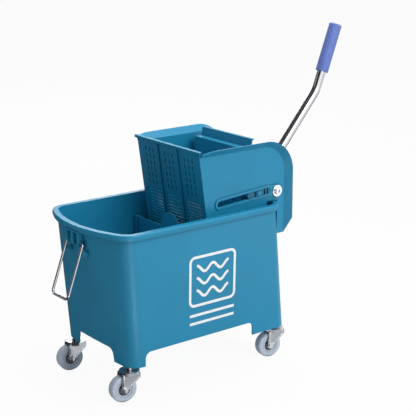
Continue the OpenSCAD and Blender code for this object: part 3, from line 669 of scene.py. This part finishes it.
def gloss_card(name, at, turn, width, length, look):
    """A card that only gloss mirrors: it shades nothing and the camera doesn't see it."""
    bpy.ops.mesh.primitive_plane_add(size=1, location=at)
    card = bpy.context.object
    card.name = name
    card.scale = (width, length, 1.0)
    card.rotation_euler = turn
    card.visible_camera = False
    card.visible_diffuse = False
    card.visible_shadow = False
    paint(card, look.material)


def dark_flag(name, at, facing, width, length, tone):
    """A dark card, with its grey in 0 to 255."""
    look = Finish(name)
    clouds = look.noise(scale=CARD_CLOUDS)
    look.color(look.mixed(clouds, grey(tone), grey(tone + DARK_SPREAD)))
    look.set(Roughness=MATT)
    gloss_card(name, at, facing.to_track_quat("Z", "Y").to_euler(), width, length, look)


def bright_strip(name, at, turn, width, length, strength):
    """A card that shines, flat over the floor."""
    look = Finish(name)
    look.color(look.mixed(look.noise(scale=CARD_CLOUDS), *BRIGHT_SHADES))
    look.set(Emission_Color=WHITE, Emission_Strength=strength)
    gloss_card(name, at, (0.0, 0.0, turn), width, length, look)


def studio_world():
    """White to the camera and in reflections, and an even soft light from all round."""
    world = bpy.data.worlds.new("studio")
    bpy.context.scene.world = world
    world.use_nodes = True
    tree = world.node_tree
    back = tree.nodes["Background"]
    back.inputs["Color"].default_value = WHITE
    path = tree.nodes.new("ShaderNodeLightPath")
    seen = path.outputs["Is Camera Ray"]
    for name in ("Is Glossy Ray", "Is Transmission Ray"):
        both = tree.nodes.new("ShaderNodeMath")
        both.operation = "MAXIMUM"
        tree.links.new(seen, both.inputs[0])
        tree.links.new(path.outputs[name], both.inputs[1])
        seen = both.outputs["Value"]
    level = tree.nodes.new("ShaderNodeMapRange")
    level.inputs["To Min"].default_value = AMBIENT
    tree.links.new(seen, level.inputs["Value"])
    tree.links.new(level.outputs["Result"], back.inputs["Strength"])


def lamp(name, at, watts):
    """A square soft box, turned to the object."""
    data = bpy.data.lights.new(name, "AREA")
    data.size = LAMP_SIZE
    data.energy = watts
    soft_box = bpy.data.objects.new(name, data)
    soft_box.location = at
    soft_box.rotation_euler = (LAMP_AIM - Vector(at)).to_track_quat("-Z", "Y").to_euler()
    bpy.context.scene.collection.objects.link(soft_box)


stage_floor()
dark_flag("left_floor_flag", at=(-0.98, 0.30, 0.004), facing=UP, width=1.44, length=1.4, tone=30)
dark_flag("back_floor_flag", at=(-0.50, 1.00, 0.006), facing=UP, width=2.2, length=1.7, tone=30)
dark_flag("right_floor_flag", at=(1.35, 0.45, 0.004), facing=UP, width=0.9, length=1.4, tone=60)
dark_flag("front_floor_flag", at=(-0.05, -0.24, 0.005), facing=UP, width=0.75, length=0.16, tone=165)
dark_flag("left_flag", at=(-1.70, -0.10, 1.15), facing=TO_REAR, width=3.0, length=2.3, tone=30)
dark_flag("back_flag", at=(-0.45, 1.90, 1.10), facing=TO_NEAR, width=2.4, length=2.2, tone=30)
dark_flag("high_flag", at=(-0.95, 0.50, 2.20), facing=DOWN, width=1.4, length=3.9, tone=80)
bright_strip("corner_strip", at=(-0.40, -0.62, 0.008), turn=math.radians(-15.0),
             width=0.09, length=0.66, strength=4.8)
bright_strip("side_strip", at=(0.68, -0.98, 0.006), turn=0.0, width=0.7, length=0.5, strength=0.8)
studio_world()
lamp("key", at=(0.45, -2.2, 1.8), watts=45)
lamp("top", at=(0.3, 0.1, 2.4), watts=34)
lamp("fill", at=(0.9, 2.6, 1.5), watts=18)


# The photograph's camera: position, turn about the upright, rise above the horizon, focal length in pixels
PHOTO_SIDE = 416
CAMERA_AT = (-1.3363, -1.7142, 0.9027)
CAMERA_TURN = math.radians(-37.93)
CAMERA_RISE = math.radians(15.51)
FOCAL_PIXELS = 1156.8
SENSOR = 36.0


def photo_camera():
    """A camera that stands where the photograph's stood."""
    level = math.cos(CAMERA_RISE)
    back = Vector((math.sin(CAMERA_TURN) * level, -math.cos(CAMERA_TURN) * level, math.sin(CAMERA_RISE)))
    right = Vector((math.cos(CAMERA_TURN), math.sin(CAMERA_TURN), 0.0))
    up = back.cross(right)
    data = bpy.data.cameras.new("camera")
    data.sensor_width = SENSOR
    data.lens = SENSOR * FOCAL_PIXELS / PHOTO_SIDE
    camera = bpy.data.objects.new("camera", data)
    camera.matrix_world = Matrix.Translation(CAMERA_AT) @ Matrix((right, up, back)).transposed().to_4x4()
    bpy.context.scene.collection.objects.link(camera)
    bpy.context.scene.camera = camera


photo_camera()
bpy.context.scene.view_settings.view_transform = "Standard"
